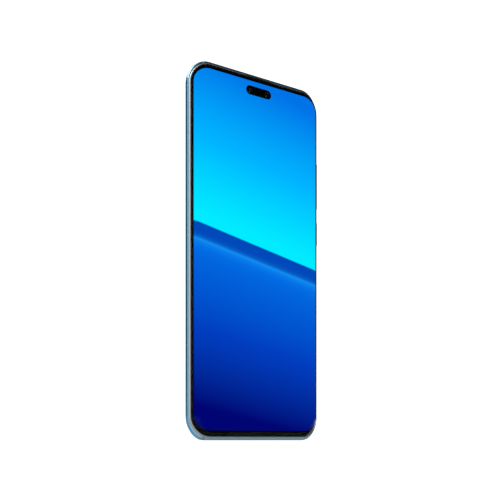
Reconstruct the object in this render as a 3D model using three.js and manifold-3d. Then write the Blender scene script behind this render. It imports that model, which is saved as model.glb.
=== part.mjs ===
// A slim smartphone with a display that curves over both long sides.
// Millimetres, +Z up along the phone, +X to the right as seen by its user, screen towards -Y.
// The origin is the middle of the bottom of the whole object's box.
// A depth is a distance back from the front of the glass. An inset is a distance in from the
// widest outline, given for the long sides and for the top and bottom ends apart.

import * as THREE from 'three';
import { mergeVertices } from 'three/addons/utils/BufferGeometryUtils.js';
import Module from 'manifold-3d';

const wasm = await Module();
wasm.setup();

// Driving dimensions

const WIDTH = 72.7;
const LENGTH = 159.2;
const THICKNESS = 7.2;
const CORNER_RADIUS = 10.3;
const CAMERA_RISE = 1.8;
const KEY_PROUD = 0.4;

const HALF_WIDTH = WIDTH / 2;
const FRONT_Y = -(THICKNESS + CAMERA_RISE) / 2;
const CORNER_STEPS = 6;
const FIT = 0.1;

const PILL = { z: 151.8, halfSpan: 5.05, radius: 1.95 };
const CAMERA_SPREAD = 4.7;

const ISLAND = { x: 18.2, z: 133.1, halfWidth: 13.4, halfHeight: 18.1, radius: 8.5 };
const MAIN_LENS = { x: 23, z: 141.6, ring: 7.2, window: 5.7 };
const WIDE_LENS = { x: 23, z: 124.6, ring: 7.2, window: 5.7 };
const MACRO_LENS = { x: 10.6, z: 141.6, ring: 3.7, window: 2.5 };
const FLASH = { x: 10.6, z: 124.6, window: 2.7 };

const USB = { halfWidth: 4.4, halfHeight: 1.55, length: 7.2 };
const PORT_DEPTH = 3.7;
const TRAY = { x: -19, halfWidth: 7.6, halfHeight: 1.0, length: 20.5 };
const EJECT_X = -10;
const SPEAKER_HOLES = { from: 10.5, pitch: 2.6, count: 6, radius: 0.8 };
const INFRARED = { x: 12, radius: 1.3 };
const PIN_HOLE = 0.45;

const KEY_DEPTH = 3.25;
const KEY_HALF_THICK = 0.55;
const VOLUME = { z: 117, halfLength: 10.5, domeSpread: 6.5 };
const POWER = { z: 95, halfLength: 5.5 };

const COLOURS = {
  glass: { color: 0x0b1220, roughness: 0.04, metalness: 0 },
  display: { color: 0x0a4ac0, roughness: 0.2, metalness: 0 },
  blackPlastic: { color: 0x101214, roughness: 0.5, metalness: 0 },
  greyPlastic: { color: 0x84878a, roughness: 0.4, metalness: 0 },
  frame: { color: 0xa9cadb, roughness: 0.22, metalness: 1 },
  band: { color: 0x9dbccb, roughness: 0.45, metalness: 0 },
  cover: { color: 0x3f8fae, roughness: 0.25, metalness: 0 },
  aluminium: { color: 0xb9bcc0, roughness: 0.45, metalness: 1 },
  copper: { color: 0xb87048, roughness: 0.35, metalness: 1 },
  steel: { color: 0xc3c6c9, roughness: 0.3, metalness: 1 },
  board: { color: 0x123b2a, roughness: 0.55, metalness: 0 },
  flex: { color: 0x7a4a16, roughness: 0.5, metalness: 0 },
  battery: { color: 0x2a2c30, roughness: 0.6, metalness: 0 },
  rubber: { color: 0x1b1c1e, roughness: 0.8, metalness: 0 },
};

const phone = new THREE.Group();
phone.position.x = -KEY_PROUD / 2;

// Adding and joining solids

function add(name, geometry, colour) {
  const mesh = new THREE.Mesh(geometry, new THREE.MeshStandardMaterial(COLOURS[colour]));
  mesh.name = name;
  phone.add(mesh);
}

function solid(geometry) {
  const bare = geometry.clone();
  bare.deleteAttribute('normal');
  bare.deleteAttribute('uv');
  const merged = mergeVertices(bare, 1e-4);
  return new wasm.Manifold(new wasm.Mesh({
    numProp: 3,
    vertProperties: new Float32Array(merged.attributes.position.array),
    triVerts: new Uint32Array(merged.index.array),
  }));
}

function geometryOf(manifold) {
  const mesh = manifold.getMesh();
  const geometry = new THREE.BufferGeometry();
  geometry.setAttribute('position', new THREE.BufferAttribute(mesh.vertProperties, 3));
  geometry.setIndex(new THREE.BufferAttribute(mesh.triVerts, 1));
  return geometry;
}

function cut(geometry, ...tools) {
  return geometryOf(tools.reduce((body, tool) => body.subtract(solid(tool)), solid(geometry)));
}

function join(geometry, ...others) {
  return geometryOf(others.reduce((body, other) => body.add(solid(other)), solid(geometry)));
}

function common(geometry, other) {
  return geometryOf(solid(geometry).intersect(solid(other)));
}

// Simple shapes, each given by its span across (x), back from the glass (depth) and up (z)

function block(x, depth, z) {
  const box = new THREE.BoxGeometry(x[1] - x[0], depth[1] - depth[0], z[1] - z[0]);
  return box.translate((x[0] + x[1]) / 2, FRONT_Y + (depth[0] + depth[1]) / 2, (z[0] + z[1]) / 2);
}

function roundedShape(halfWidth, halfHeight, radius) {
  const shape = new THREE.Shape();
  shape.absarc(halfWidth - radius, halfHeight - radius, radius, 0, Math.PI / 2);
  shape.absarc(radius - halfWidth, halfHeight - radius, radius, Math.PI / 2, Math.PI);
  shape.absarc(radius - halfWidth, radius - halfHeight, radius, Math.PI, 1.5 * Math.PI);
  shape.absarc(halfWidth - radius, radius - halfHeight, radius, 1.5 * Math.PI, 2 * Math.PI);
  return shape;
}

// A flat piece facing front and back, with rounded corners
function plate(centre, half, radius, depth, curveSegments = 4) {
  const shape = roundedShape(half[0], half[1], radius);
  const geometry = new THREE.ExtrudeGeometry(shape, {
    depth: depth[1] - depth[0],
    bevelEnabled: false,
    curveSegments,
  });
  return geometry.rotateX(Math.PI / 2).translate(centre[0], FRONT_Y + depth[1], centre[1]);
}

// The same, facing the bottom and top ends: half is across and deep, z is the span along the phone
function endPlate(x, depth, half, radius, z, curveSegments = 4) {
  const shape = roundedShape(half[0], half[1], radius);
  const geometry = new THREE.ExtrudeGeometry(shape, {
    depth: z[1] - z[0],
    bevelEnabled: false,
    curveSegments,
  });
  return geometry.translate(x, FRONT_Y + depth, z[0]);
}

// The same, facing the long sides: half is deep and along, x is the span across
function sidePlate(depth, z, half, radius, x, curveSegments = 4) {
  const shape = roundedShape(half[0], half[1], radius);
  const geometry = new THREE.ExtrudeGeometry(shape, {
    depth: x[1] - x[0],
    bevelEnabled: false,
    curveSegments,
  });
  return geometry.rotateZ(Math.PI / 2).rotateY(Math.PI / 2).translate(x[0], FRONT_Y + depth, z);
}

function disc(x, z, radius, depth, segments = 24) {
  const cylinder = new THREE.CylinderGeometry(radius, radius, depth[1] - depth[0], segments);
  return cylinder.translate(x, FRONT_Y + (depth[0] + depth[1]) / 2, z);
}

function endHole(x, depth, radius, z, segments = 16) {
  const cylinder = new THREE.CylinderGeometry(radius, radius, z[1] - z[0], segments);
  return cylinder.rotateX(Math.PI / 2).translate(x, FRONT_Y + depth, (z[0] + z[1]) / 2);
}

// Shells that follow the phone's outline. A station is where a section's corner lies:
// side and end each hold an inset and a depth, and the corner turns smoothly from one to the other.

function outlinePoint(station, angle, side, up) {
  const across = CORNER_RADIUS - station.side[0];
  const along = CORNER_RADIUS - station.end[0];
  const share = Math.sin(angle) ** 2;
  const depth = station.side[1] * (1 - share) + station.end[1] * share;
  return new THREE.Vector3(
    side * (HALF_WIDTH - CORNER_RADIUS + across * Math.cos(angle)),
    FRONT_Y + depth,
    LENGTH / 2 + up * (LENGTH / 2 - CORNER_RADIUS + along * Math.sin(angle)),
  );
}

function outline(station) {
  const points = [];
  for (let corner = 0; corner < 4; corner++) {
    const side = corner === 0 || corner === 3 ? 1 : -1;
    const up = corner < 2 ? 1 : -1;
    for (let step = 0; step <= CORNER_STEPS; step++) {
      const turned = (step / CORNER_STEPS) * (Math.PI / 2);
      points.push(outlinePoint(station, side * up > 0 ? turned : Math.PI / 2 - turned, side, up));
    }
  }
  return points;
}

// Skin over a run of stations. A ring joins the last station to the first; a lid closes both.
function skin(stations, ring) {
  const rows = stations.map(outline);
  const count = rows[0].length;
  const positions = rows.flat().flatMap((point) => point.toArray());
  const index = [];
  const spans = ring ? rows.length : rows.length - 1;
  for (let row = 0; row < spans; row++) {
    const next = (row + 1) % rows.length;
    for (let i = 0; i < count; i++) {
      const j = (i + 1) % count;
      const corners = [row * count + i, row * count + j, next * count + i, next * count + j];
      index.push(corners[0], corners[2], corners[1], corners[1], corners[2], corners[3]);
    }
  }
  if (!ring) {
    for (const [row, flip] of [[0, false], [rows.length - 1, true]]) {
      const hub = positions.length / 3;
      positions.push(0, rows[row][0].y, LENGTH / 2);
      for (let i = 0; i < count; i++) {
        const edge = [row * count + i, row * count + ((i + 1) % count)];
        index.push(hub, ...(flip ? [edge[1], edge[0]] : edge));
      }
    }
  }
  const geometry = new THREE.BufferGeometry();
  geometry.setAttribute('position', new THREE.Float32BufferAttribute(positions, 3));
  geometry.setIndex(index);
  return geometry;
}

// Stations along a quarter ellipse, from the flat face (90 degrees) towards the rim.
// back is 1 where the curve falls towards the back of the phone, and -1 on the rear cover.
function bend({ side, end, back, from, to, steps }) {
  const stations = [];
  for (let step = 0; step <= steps; step++) {
    const angle = THREE.MathUtils.degToRad(from + ((to - from) * step) / steps);
    const place = (curve) => [
      curve.inset - curve.across * Math.cos(angle),
      curve.depth - back * curve.deep * Math.sin(angle),
    ];
    stations.push({ side: place(side), end: place(end) });
  }
  return stations;
}

// Front

const GLASS_SIDE = { inset: 5, depth: 2.6, across: 4.4, deep: 2.6 };
const GLASS_END = { inset: 2.9, depth: 0.9, across: 1.4, deep: 0.9 };
const GLASS_WALL = 0.55;
const GLASS_RIM = 20;

function thinner(curve, wall) {
  return { ...curve, across: curve.across - wall, deep: curve.deep - wall };
}

function coverGlass() {
  const outside = bend({ side: GLASS_SIDE, end: GLASS_END, back: 1, from: 90, to: GLASS_RIM, steps: 6 });
  const inside = bend({
    side: thinner(GLASS_SIDE, GLASS_WALL),
    end: thinner(GLASS_END, GLASS_WALL),
    back: 1,
    from: GLASS_RIM,
    to: 90,
    steps: 5,
  });
  return skin([...outside, ...inside], false);
}

// The panel follows the glass round the long sides, and lies flat at the ends
function displayPanel() {
  const top = thinner(GLASS_SIDE, GLASS_WALL + 0.06);
  const bottom = thinner(GLASS_SIDE, GLASS_WALL + 0.6);
  const reach = 0.4;
  const flatEnd = (curve) => ({
    inset: 3.1 + reach,
    depth: curve.depth - curve.deep,
    across: reach,
    deep: 0,
  });
  const rim = 28;
  const front = bend({ side: top, end: flatEnd(top), back: 1, from: 90, to: rim, steps: 4 });
  const rear = bend({ side: bottom, end: flatEnd(bottom), back: 1, from: rim, to: 90, steps: 4 });
  const pill = plate([0, PILL.z], [PILL.halfSpan + PILL.radius, PILL.radius], PILL.radius, [0, 2], 8);
  return cut(skin([...front, ...rear], false), pill);
}

const SENSOR = { z: 40, half: 4.5 };

function displayBacking() {
  const foil = plate([0, 78.5], [HALF_WIDTH - 7, 67], 4, [1.2, 1.35]);
  const window = plate([0, SENSOR.z], [SENSOR.half + 0.4, SENSOR.half + 0.4], 1, [1, 2]);
  return cut(foil, window);
}

// A ribbon folded through the slot in the mid plate to a plug behind it
function displayFlex() {
  const upper = block([-11, 11], [1.5, 1.62], [11, 31.9]);
  const drop = block([-11, 11], [1.5, 2.72], [31.78, 31.9]);
  const lower = block([-11, 11], [2.6, 2.72], [29.6, 31.9]);
  const plug = block([-9, 9], [2.6, 3.5], [29.6, 31.2]);
  return join(upper, drop, lower, plug);
}

function fingerprintSensor() {
  return plate([0, SENSOR.z], [SENSOR.half, SENSOR.half], 0.8, [1.2, 2.3]);
}

const EARPIECE_HALF = 7.2;

// A plastic ring between the rim of the glass and the frame
function bezelRing() {
  const ring = skin([
    { side: [0.83, 1.8], end: [1.54, 0.7] },
    { side: [0.42, 2.33], end: [1.2, 1.1] },
    { side: [2.2, 2.33], end: [2.9, 1.1] },
    { side: [2.2, 2.05], end: [2.9, 0.92] },
    { side: [1.5, 2.05], end: [2.2, 0.87] },
  ], true);
  return cut(ring, block([-EARPIECE_HALF, EARPIECE_HALF], [0, 1.5], [LENGTH - 1.75, LENGTH - 1]));
}

function earpieceMesh() {
  const top = LENGTH - 1.22;
  return block([-EARPIECE_HALF + FIT, EARPIECE_HALF - FIT], [0.86, 1.08], [top - 0.42, top]);
}

function frontCamera(side) {
  const x = side * CAMERA_SPREAD;
  const housing = plate([x, PILL.z], [3.5, 3.3], 0.6, [2.7, 5.4]);
  return join(housing, disc(x, PILL.z, 1.55, [0.7, 2.9], 20));
}

function earpieceReceiver() {
  return plate([-18, 151.8], [6, 2.9], 1.2, [2.6, 5.2]);
}

// Frame

const FRAME_WALL = { side: 3.4, end: 2.6 };

function frameRing() {
  const frontCurve = { inset: 0.35, depth: 2.95, across: 0.35, deep: 0.53 };
  const rearCurve = { inset: 0.35, depth: 3.55, across: 0.35, deep: 0.53 };
  const frontEnd = { inset: 1.12, depth: 1.95, across: 1.12, deep: 0.8 };
  const rearEnd = { inset: 0.6, depth: 5.45, across: 0.6, deep: 0.67 };
  return skin([
    ...bend({ side: frontCurve, end: frontEnd, back: 1, from: 90, to: 0, steps: 4 }),
    ...bend({ side: rearCurve, end: rearEnd, back: -1, from: 0, to: 90, steps: 3 }),
    { side: [1.45, 4.08], end: [1.6, 6.12] },
    { side: [2.6, 5.5], end: [2, 6.1] },
    { side: [FRAME_WALL.side, 5.5], end: [FRAME_WALL.end, 6.1] },
    { side: [FRAME_WALL.side, 2.42], end: [FRAME_WALL.end, 1.16] },
  ], true);
}

const KEY_SLOT = KEY_HALF_THICK + 0.06;
const KEY_POCKET_INSET = 1.5;

function keySlot(at) {
  return sidePlate(
    KEY_DEPTH, at.z, [KEY_SLOT, at.halfLength + 0.1], KEY_SLOT, [HALF_WIDTH - 2, HALF_WIDTH + 1], 6,
  );
}

function keyPocket() {
  const depth = [KEY_DEPTH - 0.7, KEY_DEPTH + 1.2];
  const z = [POWER.z - POWER.halfLength - 1.4, VOLUME.z + VOLUME.halfLength + 1.4];
  return block([HALF_WIDTH - 4, HALF_WIDTH - KEY_POCKET_INSET], depth, z);
}

const BAND = { x: 29.3, halfWidth: 0.6, inset: 1.4 };

function bandSpan(side, up, gap) {
  const half = BAND.halfWidth + gap;
  const inset = BAND.inset + gap;
  const z = up > 0 ? [LENGTH - inset, LENGTH + 1] : [-1, inset];
  return block([side * BAND.x - half, side * BAND.x + half], [0, THICKNESS], z);
}

const CORNERS = [[-1, 1], [1, 1], [-1, -1], [1, -1]];

function endOpenings() {
  const tray = endPlate(
    TRAY.x, PORT_DEPTH, [TRAY.halfWidth + 0.06, TRAY.halfHeight + 0.06], TRAY.halfHeight + 0.06, [-1, 4], 6,
  );
  const port = endPlate(
    0, PORT_DEPTH, [USB.halfWidth + 0.25, USB.halfHeight + 0.1], USB.halfHeight + 0.1, [-1, 4], 8,
  );
  const eject = endHole(EJECT_X, PORT_DEPTH, PIN_HOLE, [-1, 4], 12);
  const microphone = endHole(EJECT_X + 3.2, PORT_DEPTH, PIN_HOLE, [-1, 4], 12);
  const openings = [tray, port, eject, microphone];
  for (let hole = 0; hole < SPEAKER_HOLES.count; hole++) {
    const x = SPEAKER_HOLES.from + hole * SPEAKER_HOLES.pitch;
    openings.push(endHole(x, PORT_DEPTH, SPEAKER_HOLES.radius, [-1, 4], 12));
  }
  openings.push(endHole(INFRARED.x, PORT_DEPTH, INFRARED.radius + FIT, [LENGTH - 4, LENGTH + 1], 16));
  openings.push(endHole(INFRARED.x - 6, PORT_DEPTH, PIN_HOLE, [LENGTH - 4, LENGTH + 1], 12));
  return openings;
}

function sideFrame() {
  const bands = CORNERS.map(([side, up]) => bandSpan(side, up, 0));
  return cut(
    frameRing(), ...bands, ...endOpenings(), keySlot(VOLUME), keySlot(POWER), keyPocket(),
  );
}

function antennaBand(side, up) {
  return common(frameRing(), bandSpan(side, up, -0.04));
}

function infraredWindow() {
  return endHole(INFRARED.x, PORT_DEPTH, INFRARED.radius, [LENGTH - 2.2, LENGTH - 0.05], 16);
}

// Structure behind the display

const CAVITY = { half: [HALF_WIDTH - 3.6, LENGTH / 2 - 2.8], radius: 7.4 };
const MID_PLATE_DEPTH = [1.95, 2.4];
const SCREWS = [
  { name: 'screw_upper_left', x: -29.5, z: 145.5 },
  { name: 'screw_upper_right', x: 1.6, z: 143 },
  { name: 'screw_lower_left', x: -30.4, z: 20 },
  { name: 'screw_lower_right', x: 30.4, z: 20 },
];
const SCREW = { headRadius: 1.25, headThick: 0.45, shankRadius: 0.6, seat: 6.0 };

// The room inside the frame, which every piece behind the display keeps within
function cavity(depth) {
  return plate([0, LENGTH / 2], CAVITY.half, CAVITY.radius, depth, 6);
}

function midPlate() {
  const body = cavity(MID_PLATE_DEPTH);
  const cameras = plate([0, PILL.z], [CAMERA_SPREAD + 2, 2.1], 2.1, [1, 3]);
  const sensor = plate([0, SENSOR.z], [SENSOR.half + 0.3, SENSOR.half + 0.3], 1, [1, 3]);
  const flex = block([-12, 12], [1, 3], [31, 32.7]);
  const port = block([-5, 5], [1, 3], [2, 8]);
  return cut(body, cameras, sensor, flex, port);
}

function vaporChamber() {
  return plate([0, 106], [25, 35], 3, [1.5, 1.85]);
}

function screw(at) {
  const head = disc(at.x, at.z, SCREW.headRadius, [SCREW.seat, SCREW.seat + SCREW.headThick], 12);
  return join(head, disc(at.x, at.z, SCREW.shankRadius, [2.7, SCREW.seat + 0.1], 8));
}

function screwHole(at, depth) {
  return disc(at.x, at.z, SCREW.shankRadius + 0.2, depth, 10);
}

// Power

const BATTERY = { x: [-30.2, 31.2], z: [35.4, 110.2], depth: [2.55, 5.9] };

function batteryPack() {
  const centre = [(BATTERY.x[0] + BATTERY.x[1]) / 2, (BATTERY.z[0] + BATTERY.z[1]) / 2];
  const half = [(BATTERY.x[1] - BATTERY.x[0]) / 2, (BATTERY.z[1] - BATTERY.z[0]) / 2];
  return plate(centre, half, 2.2, BATTERY.depth);
}

function batteryLead() {
  const strip = block([-24, -16], [4.6, 4.75], [110.6, 116]);
  return join(strip, block([-24, -16], [4.6, 5.4], [114, 116]));
}

function nfcCoil() {
  const outer = plate([-15, 129], [14, 13], 5, [6.3, 6.42], 6);
  return cut(outer, plate([-15, 129], [10, 9], 3, [6, 7], 6));
}

// Electronics

const BOARD_DEPTH = [3.9, 4.5];

function mainBoard() {
  const body = plate([0.4, 129.6], [32.2, 17.6], 2, BOARD_DEPTH);
  const notches = [
    plate([MAIN_LENS.x, MAIN_LENS.z], [6.6, 6.9], 0.5, [3, 6]),
    plate([WIDE_LENS.x, WIDE_LENS.z], [5.6, 5.6], 0.5, [3, 6]),
    plate([MACRO_LENS.x, MACRO_LENS.z], [3.5, 3.5], 0.5, [3, 6]),
    block([-8.4, 8.4], [3, 6], [145.6, 149]),
    ...SCREWS.slice(0, 2).map((at) => screwHole(at, [3, 6])),
  ];
  return cut(body, ...notches);
}

function processorShield() {
  return plate([-14, 130], [14, 11.5], 0.8, [2.6, 3.82]);
}

function upperBracket() {
  const body = plate([-14.2, 130], [17.7, 17.4], 2, [5.6, 5.9]);
  return cut(body, ...SCREWS.slice(0, 2).map((at) => screwHole(at, [5, 7])));
}

function subBoard() {
  const depth = [5.15, 5.7];
  const body = common(block([-32, 5.2], depth, [3.2, 24]), cavity([5, 6]));
  const portRoom = block([-5.1, 6], [4, 6], [3, 8.4]);
  return cut(body, portRoom, screwHole(SCREWS[2], [5, 6]));
}

function interconnectFlex() {
  return join(
    block([-9, 9], [6.02, 6.14], [22.2, 117]),
    block([-8, 5], [5.78, 6.14], [20.2, 23.4]),
  );
}

// The aerial lead runs up the gap beside the battery
function coaxCable() {
  const route = new THREE.CatmullRomCurve3([
    new THREE.Vector3(-31.6, FRONT_Y + 4.2, 32),
    new THREE.Vector3(-31.8, FRONT_Y + 4.2, 50),
    new THREE.Vector3(-31.8, FRONT_Y + 4.2, 90),
    new THREE.Vector3(-31.6, FRONT_Y + 4.2, 109.5),
  ]);
  const section = new THREE.Shape().absarc(0, 0, 0.4, 0, 2 * Math.PI);
  return new THREE.ExtrudeGeometry(section, {
    steps: 12,
    curveSegments: 4,
    bevelEnabled: false,
    extrudePath: route,
  });
}

// Sound and haptics

const SPEAKER = { x: [6.2, 31.8], z: [3.4, 24.4], depth: [2.6, 5.8], wall: 0.6 };
const CONE = { x: 17.6, z: 15.2, half: [8.2, 5.4], baffle: [4, 4.6] };

function speakerBox() {
  const { x, z, depth, wall } = SPEAKER;
  const body = common(block(x, depth, z), cavity([2, 7]));
  const inside = block([x[0] + wall, 29], [depth[0] + wall, depth[1] - wall], [z[0] + 1, z[1] - wall]);
  const mouth = block([SPEAKER_HOLES.from - 1, 25.5], [3.5, 4.6], [z[0] - 1, z[0] + 2]);
  const baffle = block([x[0] + 0.3, 29.3], CONE.baffle, [7.6, z[1] - 0.3]);
  const window = plate([CONE.x, CONE.z], [CONE.half[0] + 0.3, CONE.half[1] + 0.3], 2, [3, 5.5]);
  return cut(join(cut(body, inside, mouth), cut(baffle, window)), screwHole(SCREWS[3], [2, 7]));
}

function speakerCone() {
  return plate([CONE.x, CONE.z], CONE.half, 1.8, [CONE.baffle[0] + 0.1, CONE.baffle[1] - 0.1]);
}

function speakerMesh() {
  return block([SPEAKER_HOLES.from - 1.4, 25.4], [2.6, 4.8], [2.7, 2.95]);
}

const HAPTIC = { x: [-8.8, 5], z: [12, 23], depth: [2.6, 4.9], wall: 0.3, travel: 0.5 };

function hapticCase() {
  const { x, z, depth, wall } = HAPTIC;
  const inside = block(
    [x[0] + wall, x[1] - wall], [depth[0] + wall, depth[1] - wall], [z[0] + wall, z[1] - wall],
  );
  const flexMouth = block([-4, -1], [3.2, 4.2], [z[1] - 1, z[1] + 1]);
  return cut(block(x, depth, z), inside, flexMouth);
}

function hapticMass() {
  const { x, z, depth, wall, travel } = HAPTIC;
  const gap = wall + 0.15;
  return plate(
    [(x[0] + x[1]) / 2, (z[0] + z[1]) / 2],
    [(x[1] - x[0]) / 2 - gap - travel - 0.9, (z[1] - z[0]) / 2 - gap],
    0.8,
    [depth[0] + gap, depth[1] - gap],
  );
}

// Port and card tray

function usbShell() {
  const { halfWidth, halfHeight, length } = USB;
  const wall = 0.27;
  const outer = endPlate(0, PORT_DEPTH, [halfWidth, halfHeight], halfHeight, [0.15, length], 8);
  const inner = endPlate(
    0, PORT_DEPTH, [halfWidth - wall, halfHeight - wall], halfHeight - wall, [0, length - 0.6], 8,
  );
  return cut(outer, inner);
}

function usbTongue() {
  return endPlate(0, PORT_DEPTH, [3.3, 0.35], 0.1, [1, USB.length - 0.7], 2);
}

function simTray() {
  const { x, halfWidth, halfHeight, length } = TRAY;
  const face = endPlate(x, PORT_DEPTH, [halfWidth, halfHeight], halfHeight, [0.05, 1.5], 6);
  const body = block([x - 6.6, x + 6.6], [PORT_DEPTH - 0.65, PORT_DEPTH + 0.65], [1.4, length]);
  const card = block([x - 4.5, x + 4.5], [2, 6], [5.5, 18]);
  return cut(join(face, body), card);
}

function simSeal() {
  const outer = endPlate(TRAY.x, PORT_DEPTH, [7.35, 0.93], 0.93, [1.62, 2.1], 6);
  return cut(outer, block([TRAY.x - 6.7, TRAY.x + 6.7], [PORT_DEPTH - 0.72, PORT_DEPTH + 0.72], [1, 3]));
}

function simReader() {
  const shell = block([TRAY.x - 7.6, TRAY.x + 7.6], [2.6, 4.95], [4.2, 21]);
  const channel = block([TRAY.x - 6.8, TRAY.x + 6.8], [PORT_DEPTH - 0.8, PORT_DEPTH + 0.8], [3, 22]);
  return cut(shell, channel);
}

const LEVER = { pivotX: -14, pivotZ: 24.6, z: [23.4, 24.2], depth: [3.3, 4.1] };

function ejectRod() {
  return block([EJECT_X - 0.4, EJECT_X + 0.4], [3.35, 4.05], [3, 23]);
}

// A bar on a pin: the rod lifts its right end, and its left end pushes the tray out
function ejectLever() {
  const bar = block([TRAY.x - 0.4, EJECT_X + 0.4], LEVER.depth, LEVER.z);
  const eye = disc(LEVER.pivotX, LEVER.pivotZ, 1.3, LEVER.depth, 20);
  const hole = disc(LEVER.pivotX, LEVER.pivotZ, 0.6, [3, 5], 16);
  return cut(join(bar, eye), hole);
}

// Keys

function key(at, spread) {
  const cap = sidePlate(
    KEY_DEPTH, at.z, [KEY_HALF_THICK, at.halfLength], KEY_HALF_THICK,
    [HALF_WIDTH - 1.75, HALF_WIDTH + KEY_PROUD], 6,
  );
  const flange = block(
    [HALF_WIDTH - 2.2, HALF_WIDTH - 1.75],
    [KEY_DEPTH - KEY_HALF_THICK, KEY_DEPTH + KEY_HALF_THICK + 0.3],
    [at.z - at.halfLength - 0.7, at.z + at.halfLength + 0.7],
  );
  const nubs = spread.map((offset) => block(
    [HALF_WIDTH - 2.7, HALF_WIDTH - 2.1],
    [KEY_DEPTH - 0.4, KEY_DEPTH + 0.4],
    [at.z + offset - 0.8, at.z + offset + 0.8],
  ));
  return join(cap, flange, ...nubs);
}

const FLEX_X = [HALF_WIDTH - 3.6, HALF_WIDTH - 3.45];

function keyFlex() {
  return block(FLEX_X, [KEY_DEPTH - 0.6, KEY_DEPTH + 1], [POWER.z - 4, VOLUME.z + VOLUME.domeSpread + 4]);
}

function dome(z) {
  const profile = [
    new THREE.Vector2(0, 0),
    new THREE.Vector2(0.75, 0),
    new THREE.Vector2(0.75, 0.12),
    new THREE.Vector2(0.4, 0.34),
    new THREE.Vector2(0, 0.4),
  ];
  return new THREE.LatheGeometry(profile, 16).rotateZ(-Math.PI / 2)
    .translate(FLEX_X[1] + 0.05, FRONT_Y + KEY_DEPTH + 0.1, z);
}

// Rear

const COVER_SIDE = { inset: 4.4, depth: 4.15, across: 4, deep: 3.05 };
const COVER_END = { inset: 2.4, depth: 6.25, across: 1.7, deep: 0.95 };
const COVER_WALL = 0.7;
const NECK = {
  halfWidth: ISLAND.halfWidth - 1.2,
  halfHeight: ISLAND.halfHeight - 1.2,
  radius: ISLAND.radius - 1.2,
};

function rearCover() {
  const inside = bend({
    side: thinner(COVER_SIDE, COVER_WALL),
    end: thinner(COVER_END, COVER_WALL),
    back: -1,
    from: 90,
    to: 0,
    steps: 4,
  });
  const outside = bend({ side: COVER_SIDE, end: COVER_END, back: -1, from: 0, to: 90, steps: 6 });
  const opening = plate(
    [ISLAND.x, ISLAND.z], [NECK.halfWidth + 0.15, NECK.halfHeight + 0.15], NECK.radius + 0.15, [6, 8], 6,
  );
  return cut(skin([...inside, ...outside], false), opening);
}

function rearGasket() {
  return skin([
    { side: [2.75, 5.56], end: [2.05, 6.17] },
    { side: [2.75, 5.9], end: [2.05, 6.36] },
    { side: [3.35, 6.1], end: [2.55, 6.4] },
    { side: [3.35, 5.56], end: [2.55, 6.17] },
  ], true);
}

const ISLAND_TOP = 8.6;
const RING_TOP = THICKNESS + CAMERA_RISE;
const WINDOW_SEAT = 8.3;

function cameraIsland() {
  const centre = [ISLAND.x, ISLAND.z];
  const raised = plate(centre, [ISLAND.halfWidth, ISLAND.halfHeight], ISLAND.radius, [7.26, ISLAND_TOP], 8);
  const neck = plate(centre, [NECK.halfWidth, NECK.halfHeight], NECK.radius, [6.5, 7.4], 6);
  const rings = [MAIN_LENS, WIDE_LENS, MACRO_LENS].map(
    (lens) => disc(lens.x, lens.z, lens.ring, [8, RING_TOP], 32),
  );
  const seats = [MAIN_LENS, WIDE_LENS, MACRO_LENS, FLASH].map(
    (lens) => disc(lens.x, lens.z, lens.window + FIT, [WINDOW_SEAT, RING_TOP + 1], 32),
  );
  const bores = [MAIN_LENS, WIDE_LENS, MACRO_LENS, FLASH].map(
    (lens) => disc(lens.x, lens.z, lens.window - 0.6, [6, RING_TOP], 24),
  );
  return cut(join(raised, neck, ...rings), ...seats, ...bores);
}

function lensWindow(lens, top) {
  return disc(lens.x, lens.z, lens.window, [WINDOW_SEAT + 0.05, top], 32);
}

const BARREL = { radius: 3.7, bottom: 4.4, top: 7.85 };

function mainCameraHousing() {
  const housing = plate([MAIN_LENS.x, MAIN_LENS.z], [6.2, 6.2], 0.8, [2.7, 6.2]);
  return cut(housing, disc(MAIN_LENS.x, MAIN_LENS.z, BARREL.radius + 0.25, [BARREL.bottom - 0.15, 7], 24));
}

function mainLensBarrel() {
  return disc(MAIN_LENS.x, MAIN_LENS.z, BARREL.radius, [BARREL.bottom, BARREL.top], 24);
}

function rearCamera(lens, half, radius) {
  const housing = plate([lens.x, lens.z], [half, half], 0.6, [2.7, 6.2]);
  return join(housing, disc(lens.x, lens.z, radius, [6, BARREL.top], 20));
}

// The assembly, from the front to the back

add('cover_glass', coverGlass(), 'glass');
add('display_panel', displayPanel(), 'display');
add('display_backing', displayBacking(), 'copper');
add('display_flex', displayFlex(), 'flex');
add('fingerprint_sensor', fingerprintSensor(), 'blackPlastic');
add('bezel_ring', bezelRing(), 'greyPlastic');
add('earpiece_mesh', earpieceMesh(), 'steel');
add('earpiece_receiver', earpieceReceiver(), 'steel');
add('front_camera_left', frontCamera(-1), 'blackPlastic');
add('front_camera_right', frontCamera(1), 'blackPlastic');

add('side_frame', sideFrame(), 'frame');
for (const [side, up] of CORNERS) {
  const place = `${up > 0 ? 'top' : 'bottom'}_${side > 0 ? 'right' : 'left'}`;
  add(`antenna_band_${place}`, antennaBand(side, up), 'band');
}
add('infrared_window', infraredWindow(), 'blackPlastic');
add('mid_plate', midPlate(), 'aluminium');
add('vapor_chamber', vaporChamber(), 'copper');

add('battery', batteryPack(), 'battery');
add('battery_lead', batteryLead(), 'flex');
add('nfc_coil', nfcCoil(), 'copper');
add('main_board', mainBoard(), 'board');
add('processor_shield', processorShield(), 'steel');
add('upper_bracket', upperBracket(), 'blackPlastic');
add('sub_board', subBoard(), 'board');
add('interconnect_flex', interconnectFlex(), 'flex');
add('coax_cable', coaxCable(), 'rubber');
for (const at of SCREWS) {
  add(at.name, screw(at), 'steel');
}

add('speaker_box', speakerBox(), 'blackPlastic');
add('speaker_cone', speakerCone(), 'rubber');
add('speaker_mesh', speakerMesh(), 'steel');
add('haptic_case', hapticCase(), 'steel');
add('haptic_mass', hapticMass(), 'steel');

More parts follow.
